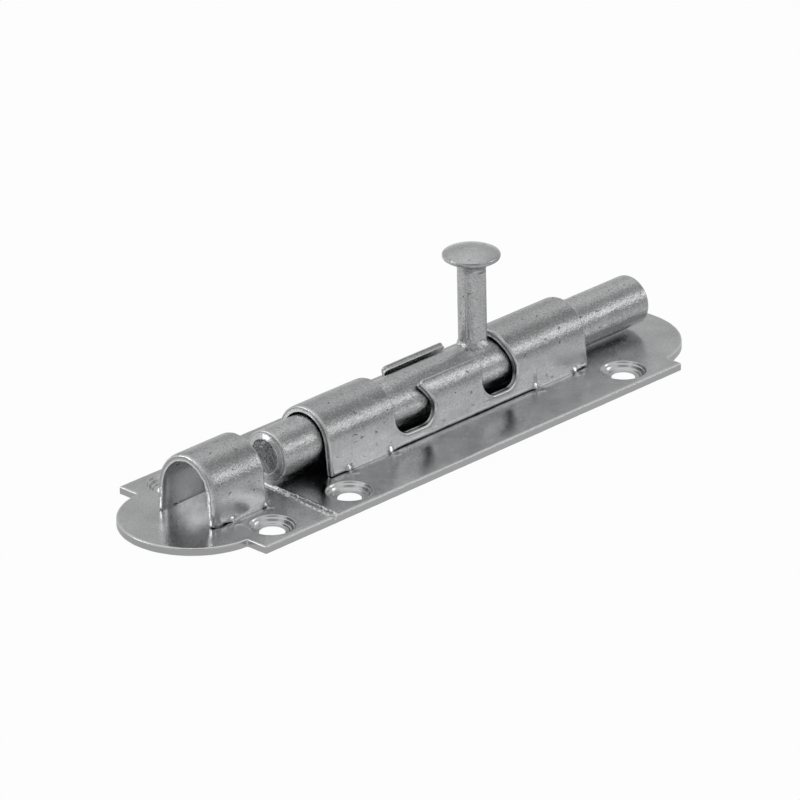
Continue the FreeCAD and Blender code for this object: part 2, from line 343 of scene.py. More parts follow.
# A narrow sheared edge, rolled over a little at the top and crisp at the back
def slotEdge(thickness, roll):
    top = ((1.7, 0.0, 0.0), (1.0, 0.1, 0.1), (0.62, 0.16, 0.35), (0.3, 0.42, 0.6), (0.08, 0.8, 0.85),
           (0.0, 1.25, 1.0))
    rows = [(roll * inset, thickness - roll * drop, cut) for inset, drop, cut in top]
    rows += [(0.0, thickness * 0.5, 1.0), (0.0, roll * 1.2, 1.0), (roll * 0.3, roll * 0.35, 0.8),
             (roll, 0.0, 0.3), (roll * 2.2, 0.0, 0.0)]
    return rows


def lugSlots(sheet, extra):
    look = plateLook
    gap, corner = look["slotGap"], look["slotCorner"]
    inner = sheet["foot"] - sheetThickness - look["slotInside"]
    outer = sheet["foot"] + look["slotOutside"]
    profile = slotEdge(look["thickness"], look["slotRoll"])
    loops = []
    for start, end in sheet["lugs"]:
        left, right = start - gap, end + gap + extra
        for low, high in ((inner, outer), (-outer, -inner)):
            corners = [(left, low, corner), (right, low, corner), (right, high, corner), (left, high, corner)]
            loops.append({"path": roundedPath(corners, 0.4), "profile": profile})
    return loops


# X of the scored line at each Y: it bows to the left towards the front edge
def scoreLine(y):
    look = plateLook
    front = ramp(-y, look["halfWidth"])
    rear = ramp(y, look["halfWidth"])
    return look["scoreX"] - look["scoreBow"] * front ** 1.6 + look["scoreRearBow"] * rear


def shapePlate(points):
    look = plateLook
    x, y, z = points.T.copy()
    share = ramp(z, look["thickness"])
    flat = np.column_stack([x, y, 0 * z])
    away = np.abs(x - scoreLine(y) + 0.05 * noiseAt(flat, 0.8, 14))
    front = ramp(-y, look["halfWidth"])
    valley = -look["scoreDepth"] * ramp(1 - away / look["scoreHalfWidth"]) ** 0.8
    burr = look["scoreBurr"] * bell(away - look["scoreHalfWidth"] - look["burrPlace"], look["burrWidth"])
    ragged = noiseAt(flat * [0.6, 1, 1], 0.5, 4) + 0.6 * noiseAt(flat, 0.27, 15)
    burr *= (0.75 + 0.5 * front) * np.clip(1 + 1.7 * ragged, 0.1, 2.4)
    notch = -look["scoreNotch"] * bell(x - scoreLine(y), 0.25) * (y < -look["halfWidth"] + 0.6)
    wave = look["waveDepth"] * noiseAt(flat, look["waveSize"], 1)
    wave += look["waveDepth"] * 0.22 * noiseAt(flat, look["waveSize"] * 0.3, 2)
    dents = np.zeros(len(x))
    crumbs = noiseAt(flat, 0.45, 16)
    for footX, height, side, foot in clinchedFeet():
        for (along, out, width), push in ((look["crumb"], look["crumbHeight"] + 0.2 * crumbs),
                                          (look["dent"], -look["dentDepth"])):
            dents += push * height * bell(np.hypot(x - footX - along, y - side * (foot + out)), width)
    z = z + share * (valley + burr + notch + wave + dents - look["waveDepth"])
    top = ramp(share - 0.9, 0.1)
    (bright, brightWidth), (dark, darkWidth) = look["scoreLips"], look["scoreBottom"]
    lips = bright * np.exp(-(away / brightWidth) ** 4)
    bottom = dark * bell(away, darkWidth) * np.clip(0.9 + 1.6 * ragged, 0, 1.4)
    return np.column_stack([x, y, np.clip(z, 0, None)]), top * (lips + bottom)


def makePlate():
    look = plateLook
    radius = look["sinkRadius"]
    loops = [{"path": plateOutline(), "profile": look["edge"], "outer": True, "wobble": look["wobble"]}]
    angles = np.arange(look["sinkSides"]) / look["sinkSides"] * 2 * math.pi
    for x, y, closing in screwHoles():
        circle = np.column_stack([x + radius * np.cos(angles), y + radius * np.sin(angles)])
        profile = [(r - closing * min(1, max(0, (look["lipRadius"] - r) / look["lipReach"])) - radius, z, cut)
                   for r, z, cut in look["sink"]]
        loops.append({"path": circle, "profile": profile})
    loops += lugSlots(housingLook, 0) + lugSlots(keeperLook, look["keeperSlotExtra"])
    extra = [(scoreLine(y) + side * a, y) for y in np.arange(-17.2, 17.2, look["scoreStep"])
             for a in look["scoreAcross"] for side in (-1, 1) if a or side > 0]
    for x, height, side, foot in clinchedFeet():
        extra += spotCluster(x + 0.2, side * (foot + 0.8), 1.3, 0.16)
    points, cuts, faces = blankSheet(loops, look["gridStep"], extra)
    points, scored = shapePlate(points)
    coined = np.zeros(len(points))
    for x, y, closing in screwHoles():
        away = np.hypot(points[:, 0] - x, points[:, 1] - y)
        coined = np.maximum(coined, ramp(look["coinedRadius"] - away, 0.2))
    return makePiece("basePlate", points, faces, {"cut": np.maximum(cuts, scored), "bend": coined})


# The two folded sheets. On the flat blank, X stays, Y runs round the outside from the crown, and Z is the
# height above the inner face.

sheetThickness = 1.12

housingLook = {
    "left": -24.55,
    "right": 39.0,
    "radius": 6.0,
    "centreZ": 6.5,
    "foot": 6.6,
    "footGap": 0.08,
    "footCorner": 0.35,
    "shoulder": 1.0,
    "lugs": ((-19.8, -9.8), (26.2, 36.2)),
    "leftWindow": (-8.3, 1.05),
    "rightWindow": (13.125, 21.425),
    "sillZ": 3.45,
    "sillRadii": (3.1, 2.4),  # left and right corner of each window
    "leanZ": 6.75,  # from here up to tabZ the windows' ends lean over
    "tabZ": 10.86,
    "leanRadius": 2.0,
    "archLeanRadius": 3.0,
    "archTipRadius": 5.0,
    "crownRadius": 9.0,
    "leftOverhang": 2.5,
    "rightOverhang": 0.85,
    "archOverhang": 1.0,
    "frontTabCorners": (0.75, 0.45),
    "rearTabCorners": (0.75, 0.9),
    "frontTabLift": 0.08,  # how far each tab springs outwards at its tip
    "rearTabLift": 0.4,
    "stakes": ((-20.5, 1.1), (-10.4, 1.0), (25.55, 1.0), (35.4, 0.9)),  # place along X, and height
    "stakeSlope": 0.42,
    "stakeRadius": 0.62,
    "stakeLift": 0.6,  # its middle is this far above the foot
    "toolMarkX": 25.65,  # two short upright dents above a foot
    "toolMarkGap": 0.24,
    "toolMarkDepth": 0.1,
    "roll": 0.34,
    "wobble": 0.06,
    "skin": ((0.03, 7.0, 31), (0.012, 1.8, 32)),  # depth, size and seed of its unevenness
    "crumbs": (0.4, 33),
    "gridStep": 0.5,
}

keeperLook = {
    "left": -52.35,
    "right": -39.9,
    "radius": 6.2,
    "centreZ": 6.65,
    "foot": 6.6,
    "footGap": 0.1,
    "footCorner": 0.35,
    "shoulder": 1.0,
    "lugs": ((-48.2, -40.6),),
    "stakes": ((-48.2, 0.9), (-40.3, 0.9)),
    "stakeSlope": 0.42,
    "stakeRadius": 0.6,
    "stakeLift": 0.6,
    "curlLeg": 0.28,  # the open end closes in by this much at the legs, and less at the arch
    "curlArch": 0.1,
    "curlLength": 1.6,
    "rearLegReach": 0.6,  # the rear leg of the open end stands this much further out
    "rearLegLength": 4.0,
    "foldX": -51.5,  # pinched corner of the front foot
    "foldDepth": 0.32,
    "foldReach": (0.33, 1.5),  # along X and up the leg
    "roll": 0.36,
    "wobble": 0.15,
    "skin": ((0.03, 7.0, 41), (0.012, 1.8, 42)),
    "crumbs": (0.4, 43),
    "gridStep": 0.45,
}


# A wide roll where the punch came in, and a thin burr round the inner face
def rolledEdge(thickness, roll):
    top = ((2.2, 0.0, 0.0), (1.4, 0.03, 0.1), (0.9, 0.11, 0.4), (0.5, 0.29, 0.8), (0.2, 0.58, 1.0))
    rows = [(roll * inset, thickness - roll * drop, cut) for inset, drop, cut in top]
    rows += [(0.02, thickness - roll * 0.95, 2.0), (0.0, thickness * 0.52, 1.6), (0.03, 0.38, 1.3),
             (0.02, 0.26, 1.0), (-0.05, 0.15, 1.0), (-0.03, 0.05, 1.0), (0.08, 0.0, 0.6), (0.3, 0.0, 0.0)]
    return rows


# Lean of the legs, and the lengths from the crown to the leg and to the foot
def bendLine(look):
    drop = look["centreZ"] - plateLook["thickness"]
    lean = math.acos(look["radius"] / math.hypot(look["foot"], drop)) - math.atan2(drop, look["foot"])
    touch = look["radius"] * (math.pi / 2 - lean)
    leg = math.sqrt(look["foot"] ** 2 + drop ** 2 - look["radius"] ** 2)
    return lean, touch, touch + leg


def lengthAt(look, z):
    lean, touch, foot = bendLine(look)
    touchZ = look["centreZ"] + look["radius"] * math.sin(lean)
    if z >= touchZ:
        return look["radius"] * math.acos(min(1, (z - look["centreZ"]) / look["radius"]))
    return touch + (touchZ - z) / math.cos(lean)


def bendSheet(look, points):
    lean, touch, foot = bendLine(look)
    x, length, level = points.T
    side = np.where(length < 0, -1, 1)
    run = np.abs(length)
    angle = np.clip(run, 0, touch) / look["radius"]
    legRun = np.clip(run - touch, 0, foot - touch)
    outY = look["radius"] * np.sin(angle) + legRun * math.sin(lean)
    outZ = look["centreZ"] + look["radius"] * np.cos(angle) - legRun * math.cos(lean)
    outZ -= np.clip(run - foot, 0, None)
    turnDown = ramp(run - foot + 0.25, 0.35)
    tilt = np.where(run > touch, lean * (1 - turnDown), math.pi / 2 - angle)
    depth = sheetThickness - level
    y = side * (outY - depth * np.cos(tilt))
    z = outZ - depth * np.sin(tilt)
    return np.column_stack([x, y, z]), side, tilt


def sheetOutline(look):
    lean, touch, foot = bendLine(look)
    left, right, shoulder, corner = look["left"], look["right"], look["shoulder"], look["footCorner"]
    lift = foot - look["footGap"] / math.cos(lean)
    tip = foot + plateLook["thickness"] - 0.15
    side = [(left, -lift, corner)]
    for start, end in look["lugs"]:
        if start - shoulder > left + 0.2:
            side += [(start - shoulder, -lift, 0.0), (start - shoulder + 0.15, -foot, 0.0)]
        side += [(start, -foot, 0.12), (start, -tip, 0.2), (end, -tip, 0.2), (end, -foot, 0.12)]
        if end + shoulder < right - 0.2:
            side += [(end + shoulder - 0.15, -foot, 0.0), (end + shoulder, -lift, 0.0)]
        else:
            side += [(right, -foot, corner)]
    if side[-1][0] < right:
        side.append((right, -lift, corner))
    return roundedPath(side + [(x, -y, r) for x, y, r in side[::-1]], 0.4)


# Both knob windows are one opening, and a tab of each wall stands up between them
def windowLoop(look):
    sill, lean, tab = (lengthAt(look, look[key]) for key in ("sillZ", "leanZ", "tabZ"))
    rise = (look["centreZ"] + look["radius"] - look["leanZ"]) / (look["tabZ"] - look["leanZ"])
    leftStart, leftEnd = look["leftWindow"]
    rightStart, rightEnd = look["rightWindow"]
    leftSill, rightSill = look["sillRadii"]
    leftTab, rightTab = leftEnd - look["leftOverhang"], rightStart + look["rightOverhang"]
    arch = look["archOverhang"]
    front, rear = (
        [(leftStart, -tab, 0), (leftStart, -sill, leftSill), (leftEnd, -sill, rightSill),
         (leftEnd, -lean, look["leanRadius"]), (leftTab, -tab, leftCorner), (rightTab, -tab, rightCorner),
         (rightStart, -lean, look["leanRadius"]), (rightStart, -sill, leftSill), (rightEnd, -sill, rightSill),
         (rightEnd, -lean, look["archLeanRadius"]), (rightEnd - arch, -tab, look["archTipRadius"]),
         (rightEnd - arch * rise, 0, look["crownRadius"])]
        for leftCorner, rightCorner in (look["frontTabCorners"], look["rearTabCorners"]))
    return roundedPath(front + [(x, -y, r) for x, y, r in rear[:-1]][::-1], 0.3)


def shapeSheet(look, points):
    placed, side, tilt = bendSheet(look, points)
    lean, touch, foot = bendLine(look)
    x = points[:, 0]
    run = np.abs(points[:, 1])
    outward = np.column_stack([np.zeros(len(run)), side * np.cos(tilt), np.sin(tilt)])
    flat = np.column_stack([x, points[:, 1], np.zeros(len(run))])
    outer = ramp(points[:, 2], sheetThickness)
    onLeg = ~(run > foot - 0.05)
    push = ripple(flat, look["skin"]) * onLeg
    staked = np.zeros(len(run))
    crumbs = noiseAt(np.column_stack([x, run * side, run]), *look["crumbs"])
    for stakeX, height in look["stakes"]:
        down = run - foot + look["stakeLift"]
        gap = np.hypot(x - stakeX, down * 0.85)
        nugget = ramp(1.6 * (1 - (gap / look["stakeRadius"]) ** 2))
        slope = look["stakeSlope"] * (down + look["stakeRadius"]) + 0.05 * crumbs
        bump = height * nugget * slope
        bump -= 0.09 * bell(np.hypot(x - stakeX - 0.7, down), 0.3)
        push = push + bump * outer * onLeg
        staked = np.maximum(staked, nugget * outer)
    if "toolMarkX" in look:
        for offset in (-look["toolMarkGap"], look["toolMarkGap"]):
            mark = look["toolMarkDepth"] * bell(x - look["toolMarkX"] - offset, 0.11)
            push -= mark * outer * bell(run - foot + 2.2, 0.95) * onLeg
    if "tabZ" in look:
        tab, root = lengthAt(look, look["tabZ"]), lengthAt(look, look["leanZ"] - 1.0)
        rise = ramp(root - run, root - tab) ** 2
        between = ramp(x - look["leftWindow"][0] - 2.5, 3)
        between *= ramp(look["rightWindow"][1] - 2 - x, 3)
        push += rise * between * np.where(side > 0, look["rearTabLift"], look["frontTabLift"])
    if "curlLeg" in look:
        towardsLeg = ramp(run, touch)
        near = ramp(look["left"] + look["curlLength"] - x, look["curlLength"]) ** 2
        push -= near * (look["curlArch"] + (look["curlLeg"] - look["curlArch"]) * towardsLeg) * onLeg
        foldX, foldUp = look["foldReach"]
        fold = bell(x - look["foldX"], foldX) * bell(foot - run, foldUp)
        push -= look["foldDepth"] * fold * (side < 0) * onLeg
        reach = ramp(look["left"] + look["rearLegLength"] - x, look["rearLegLength"])
        placed[:, 0] -= look["rearLegReach"] * (towardsLeg ** 2 * (side > 0)) * reach
    bend = ramp(touch + 1.0 - run, 2.4)
    return placed + outward * push[:, None], bend, staked


def makeSheet(name, look, holes):
    foot = bendLine(look)[2]
    profile = rolledEdge(sheetThickness, look["roll"])
    loops = [{"path": sheetOutline(look), "profile": profile, "outer": True, "wobble": look["wobble"]}]
    loops += [{"path": hole, "profile": profile, "wobble": look["wobble"] * 0.5} for hole in holes]
    extra = []
    for stakeX, height in look["stakes"]:
        for side in (-1, 1):
            extra += spotCluster(stakeX, side * (foot - 0.7), 1.0, 0.13)
    if "toolMarkX" in look:
        extra += [(look["toolMarkX"] + a, side * s) for a in np.arange(-0.6, 0.61, 0.12)
                  for s in np.arange(foot - 4.2, foot - 1.6, 0.25) for side in (-1, 1)]
    points, cuts, faces = blankSheet(loops, look["gridStep"], extra)
    placed, bend, staked = shapeSheet(look, points)
    return makePiece(name, placed, faces, {"cut": np.maximum(cuts, staked), "bend": bend})


# The bar and the knob are rings of points round an axis, with a point in the middle of each end

rodLook = {
    "axisZ": 6.5,
    "radius": 4.5,
    "left": -34.0,
    "right": 57.0,
    "faceRadius": 3.05,  # sheared face in the middle of the tapered nose
    "nose": (  # distance from the left end, radius and cut
        (0.05, 2.98, 2.0), (0.01, 3.05, 1.5), (0.0, 3.12, 1.0), (0.02, 3.2, 0.6), (0.07, 3.32, 0.2),
        (0.14, 3.46, 0.1), (0.23, 3.6, 0.1), (0.32, 3.74, 0.1), (0.4, 3.87, 0.2), (0.46, 3.98, 1.1),
        (0.5, 4.1, 1.7), (0.54, 4.22, 1.7), (0.57, 4.32, 1.2), (0.63, 4.41, 0.9), (0.7, 4.465, 0.6),
        (0.78, 4.49, 0.2), (0.9, 4.5, 0.05),
    ),
    "tail": (  # distance from the right end, radius and cut
        (0.6, 4.5, 0.1), (0.42, 4.49, 0.3), (0.28, 4.46, 0.5), (0.16, 4.39, 0.8), (0.07, 4.28, 1.0),
        (0.02, 4.12, 1.0),
    ),
    "sides": 192,
    "step": 0.4,
    # thin pressed flat that runs from the stud to the left: X, middle and half width in degrees
    "facet": ((-1.5, 54, 4.0), (2.4, 55, 7.0), (5.4, 57, 8.0), (8.3, 59, 9.0), (11.0, 61, 11.5),
              (13.5, 65, 15.0)),
    "facetEnd": 14.6,
    "facetHollow": 0.08,
    "tearDepth": 0.3,  # how rough the shear left the nose
    "tearGrain": 0.12,
    "tearSize": (0.34, 1.7),  # across and along the tears
    "skin": ((0.02, 2.2, 5),),
    "drawnSkin": ((0.014, 0.7, 6),),  # stretched along the bar
    "rimDents": ((0.04, 0.9, 11), (0.02, 0.3, 8)),  # on the rim of the nose
    "rimRadius": 3.9,
    "rimWidth": 0.5,
}


# The angle and the values of every point when the rows of a line are repeated round the axis
def spinLine(line, sides):
    turn = np.tile(np.arange(sides) / sides * 2 * math.pi, len(line))
    return turn, *(np.repeat(column, sides) for column in np.array(line).T)


def ringFaces(sides, rowCount, capStart, capEnd):
    around = np.arange(sides)
    faces = []
    for k in range(rowCount - 1):
        a = k * sides + around
        b = k * sides + (around + 1) % sides
        faces += np.column_stack([a, b, b + sides, a + sides]).tolist()
    last = (rowCount - 1) * sides
    faces += [[(k + 1) % sides, k, capStart] for k in range(sides)]
    faces += [[last + k, last + (k + 1) % sides, capEnd] for k in range(sides)]
    return faces


def makeRod():
    look = rodLook
    left, right, radius, sides = look["left"], look["right"], look["radius"], look["sides"]
    line = [(left + 0.12, r, 2.0) for r in np.arange(0.3, look["faceRadius"] - 0.1, 0.15)]
    line += [(left + x, r, cut) for x, r, cut in look["nose"]]
    line += [(x, radius, 0) for x in np.arange(left + 1.2, right - 0.8, look["step"])]
    line += [(right - x, r, cut) for x, r, cut in look["tail"]]
    line += [(right - 0.02, r, 2.0) for r in np.arange(3.95, 0.3, -0.2)]
    turn, lineX, r, cut = spinLine(line, sides)  # 0 faces minus Y, a quarter turn faces up

    def placed(x, r):
        return np.column_stack([x, -r * np.cos(turn), look["axisZ"] + r * np.sin(turn)])

    along, middle, width = np.array(look["facet"], float).T
    halfWidth = np.radians(np.interp(lineX, along, width))
    off = np.abs(turn - np.radians(np.interp(lineX, along, middle)))
    fade = ramp(look["facetEnd"] - lineX, 1.1) * ramp(lineX - along[0], 3.0)
    hollow = look["facetHollow"] * (halfWidth / halfWidth.max()) * ramp(1 - (off / halfWidth) ** 2)
    chord = radius * np.cos(halfWidth) / np.cos(np.clip(off, 0, 1.2)) - hollow
    r = np.where(off < halfWidth, r + (np.minimum(r, chord) - r) * fade, r)
    points = placed(lineX, r)
    y, z = points[:, 1], points[:, 2]
    skin = ripple(points, look["skin"]) + ripple(points * [0.35, 1, 1], look["drawnSkin"])
    rim = bell(r - look["rimRadius"], look["rimWidth"]) * (lineX < left + 0.8)
    skin += rim * ripple(points, look["rimDents"])
    r = r + skin * (r > 0.5)
    # the shear tore the upper rear of the nose and left the rest smooth
    face = ramp(look["faceRadius"] + 0.1 - r, 0.15) * (lineX < left + 0.3)
    torn = np.clip(0.45 + (y + z - look["axisZ"]) / 5.0, 0.12, 1)
    across, onward = look["tearSize"]
    slant = np.column_stack([(y - z) * 0.7 / across, (y + z) * 0.7 / onward, lineX])
    tears = look["tearDepth"] * noiseAt(slant, 1.0, 9) + look["tearGrain"] * noiseAt(points, 0.35, 10)
    x = lineX + face * torn * tears
    x = x + face * (0.1 * noiseAt(points, 2.0, 7) + 0.04)
    x = x + np.where(lineX > right - 0.05, 0.05 * noiseAt(slant, 1.0, 12) - 0.03, 0)
    ends = [[left + 0.15, 0, look["axisZ"]], [right - 0.05, 0, look["axisZ"]]]
    faces = ringFaces(sides, len(line), len(x), len(x) + 1)
    points = np.concatenate([placed(x, r), ends])
    rolled = np.clip((points[:, 0] - left - 0.6) / 0.5, 0.2, 1)
    values = {"cut": np.concatenate([cut, [1, 1]]), "bend": rolled}
    return makePiece("boltRod", points, [face[::-1] for face in faces], values)


knobLook = {
    "x": 16.725,
    "radius": 2.5,
    "flatY": 2.2,  # the shank is pressed to this on two sides
    "flatTwist": 0.1,
    "flatFrom": 12.0,
    "flatTo": 24.6,
    "lean": 0.25,  # towards minus X at the head, from this height up
    "leanFrom": 11.0,
    "leanReach": 18.0,
    "footZ": 10.35,
    "foot": ((0.5, -0.2), (1.6, -0.2), (2.5, -0.15), (2.66, 0.1)),  # radius, and height above footZ
    "collarRadius": 2.66,
    "collarTop": 11.4,
    "collar": ((2.62, 11.5), (2.57, 11.65), (2.53, 11.85)),
    "throatBottom": 24.7,
    "throatTop": 26.1,
    "throatRadius": 2.95,
    "underside": ((3.15, 26.29), (3.4, 26.44), (3.65, 26.55), (3.9, 26.65), (4.15, 26.74), (4.4, 26.84),
                  (4.6, 26.94), (4.76, 27.04)),
    "headRadius": 4.9,
    "rimRadius": 5.05,
    "rimLow": 27.2,
    "rimHigh": 27.95,
    "top": 29.18,
    "dimpleRadius": 1.35,  # shallow ring on the crown of the head
    "dimpleDepth": 0.06,
    "domeRings": 52,
    "sides": 128,
    # lumps of weld round the foot: place in degrees from plus X, and how far each stands out
    "lobes": ((193, 0.3), (253, 0.42), (291, 0.34), (340, 0.28), (35, 0.3), (95, 0.34), (150, 0.26)),
    "lobeZ": 11.2,
    "lobeHeight": 0.33,
    "lobeSpread": 13,
    "creases": (203.5, 21.0),  # upright creases where the flats end
    "creaseDepth": 0.15,
    "creaseWidth": (2.6, 3.5, 14.5, 3.0),  # in degrees, how much wider below a height, and the reach
    "creaseLip": 0.05,
    "skin": ((0.02, 1.5, 21), (0.012, 0.6, 22)),
    "weldDepth": 0.05,
    "weldTop": 12.2,
}


def knobLine():
    look = knobLook
    radius, headRadius = look["radius"], look["headRadius"]
    line = [(r, look["footZ"] + z) for r, z in look["foot"]]
    line += [(look["collarRadius"], z) for z in np.arange(look["footZ"] + 0.3, look["collarTop"], 0.12)]
    line += look["collar"]
    line += [(radius, z) for z in np.arange(look["flatFrom"], look["throatBottom"] - 0.05, 0.16)]
    span = look["throatTop"] - look["throatBottom"]
    flare = (radius + (look["throatRadius"] - radius) * 0.25, look["throatBottom"] + span * 0.6)
    line += arcBetween((radius, look["throatBottom"]), flare, (look["throatRadius"], look["throatTop"]), 10)
    line += look["underside"]
    rimMiddle = (look["rimRadius"], (look["rimLow"] + look["rimHigh"]) / 2)
    line += arcBetween((headRadius, look["rimLow"] - 0.06), rimMiddle, (headRadius, look["rimHigh"]), 12)
    rise = look["top"] - look["rimHigh"]
    ball = (headRadius ** 2 + rise ** 2) / (2 * rise)
    widest = math.asin(headRadius / ball)
    rings = look["domeRings"]
    slopes = [widest * (1 - k / rings) for k in range(1, rings)]
    line += [(ball * math.sin(slope), look["top"] - ball * (1 - math.cos(slope))) for slope in slopes]
    return np.array(line)


def makeKnob():
    look = knobLook
    line = knobLine()
    sides = look["sides"]
    turn, r, z = spinLine(line, sides)
    onShank = ramp(z - look["flatFrom"] + 0.25, 0.6) * ramp(look["flatTo"] + 0.5 - z, 0.6)
    flat = look["flatY"] / np.clip(np.abs(np.sin(turn + look["flatTwist"])), 0.05, 1)
    soft = 0.035
    pressed = -soft * np.log(np.exp(-r / soft) + np.exp(-flat / soft))
    r = r + (pressed - r) * onShank
    for crease in look["creases"]:
        off = (np.degrees(turn) - crease + 180) % 360 - 180
        width, wider, start, reach = look["creaseWidth"]
        spread = width + wider * ramp(start - z, reach)
        r -= look["creaseDepth"] * bell(off, spread) * onShank
        r += look["creaseLip"] * bell(np.abs(off) - spread - 4, 3.5) * onShank
    for lobe, size in look["lobes"]:
        off = (np.degrees(turn) - lobe + 180) % 360 - 180
        r += size * bell(off, look["lobeSpread"]) * bell(z - look["lobeZ"], look["lobeHeight"])
    points = np.column_stack([look["x"] + r * np.cos(turn), r * np.sin(turn), z])
    skin = ripple(points, look["skin"])
    skin += look["weldDepth"] * ramp(look["weldTop"] - z, 0.8) * noiseAt(points, 0.45, 23)
    onHead = z > look["rimLow"] - 0.3
    r = np.where(r > 0.4, r + np.where(onHead, skin * 0.5, skin), r)
    ring = look["dimpleDepth"] * bell(r - look["dimpleRadius"], 0.18)
    z = z - (ring + 0.02 * bell(r, 1.0)) * (z > look["rimHigh"] + 0.05)
    lean = look["lean"] * ramp(z - look["leanFrom"], look["leanReach"])
    points = np.column_stack([look["x"] + r * np.cos(turn) - lean, r * np.sin(turn), z])
    inBar = look["footZ"] - 0.5  # the foot's lowest rings go down into the bar
    points[z < look["footZ"] + 0.02, 2] = inBar
    ends = [[look["x"], 0, inBar], [look["x"] - look["lean"], 0, look["top"] - 0.02]]
    faces = ringFaces(sides, len(line), len(points), len(points) + 1)
    points = np.concatenate([points, ends])
    welded = ramp(look["weldTop"] - 0.3 - points[:, 2], 0.8)
    grainy = np.where(points[:, 2] > look["throatTop"], 0.4, 0.8)
    return makePiece("knobStud", points, faces, {"cut": welded, "bend": grainy})


# The zinc: values for the plate, the pressed sheet and the bar. One whose name starts with bend or cut is
# added in step with that value of the mesh, and "draw" is the depth of the streaks along the metal.

zincNames = ("plate", "pressed", "bar")

zincLooks = {
    "pale": ((0.72, 0.725, 0.73), (0.6, 0.605, 0.61), (0.68, 0.685, 0.69)),
    "dull": ((0.6, 0.605, 0.612), (0.52, 0.525, 0.532), (0.58, 0.585, 0.592)),
    "pit": ((0.28, 0.282, 0.285), (0.25, 0.252, 0.255), (0.25, 0.252, 0.255)),
    "bright": ((0.97, 0.974, 0.98), (0.97, 0.975, 0.98), (0.88, 0.884, 0.89)),
    "sheared": ((0.56, 0.563, 0.567), (0.4, 0.403, 0.407), (0.37, 0.373, 0.377)),
    "patchSize": (9.0, 6.0, 5.0),
    "roughness": (0.13, 0.14, 0.15),
    "roughSpread": (0.1, 0.08, 0.1),
    "bendRoughness": (-0.08, 0.03, 0.03),
    "cutRoughness": (-0.03, -0.05, 0.03),
    "grainSize": (0.34, 0.36, 0.38),
    "grainDepth": (0.016, 0.014, 0.018),
    "bendGrain": (0.0, 0.045, 0.05),
    "cutGrain": (0.018, 0.0, 0.04),
    "lumpDepth": (0.014, 0.012, 0.018),
    "waveSize": (3.2, 2.6, 2.2),
    "waveDepth": (0.022, 0.016, 0.02),
    "draw": (0.006, 0.006, 0.014),
    "pitSize": (0.6, 0.7, 0.75),
    "pitLevel": (0.71, 0.665, 0.66),
    "pitDepth": (0.02, 0.03, 0.035),
    "scuffLevel": (0.7, 0.7, 0.67),
    "speckle": (0.7, 0.5, 0.4),
    "bendSpeckle": (-0.5, 0.8, 0.8),
    "pepper": (0.25, 0.1, 0.1),
    "bendPepper": (-0.25, 0.5, 0.55),
}


# Adds a node with its inputs set or linked, and gives back one of its outputs
def addNode(tree, kind, inputs, output=0, **settings):
    node = tree.nodes.new("ShaderNode" + kind)
    for label, value in settings.items():
        setattr(node, label, value)
    for label, value in inputs.items():
        if isinstance(value, bpy.types.NodeSocket):
            tree.links.new(value, node.inputs[label])
        else:
            node.inputs[label].default_value = value
    return node.outputs[output]


def rangeInputs(source, low, high, outLow=0.0, outHigh=1.0):
    return {"Value": source, "From Min": low, "From Max": high, "To Min": outLow, "To Max": outHigh}


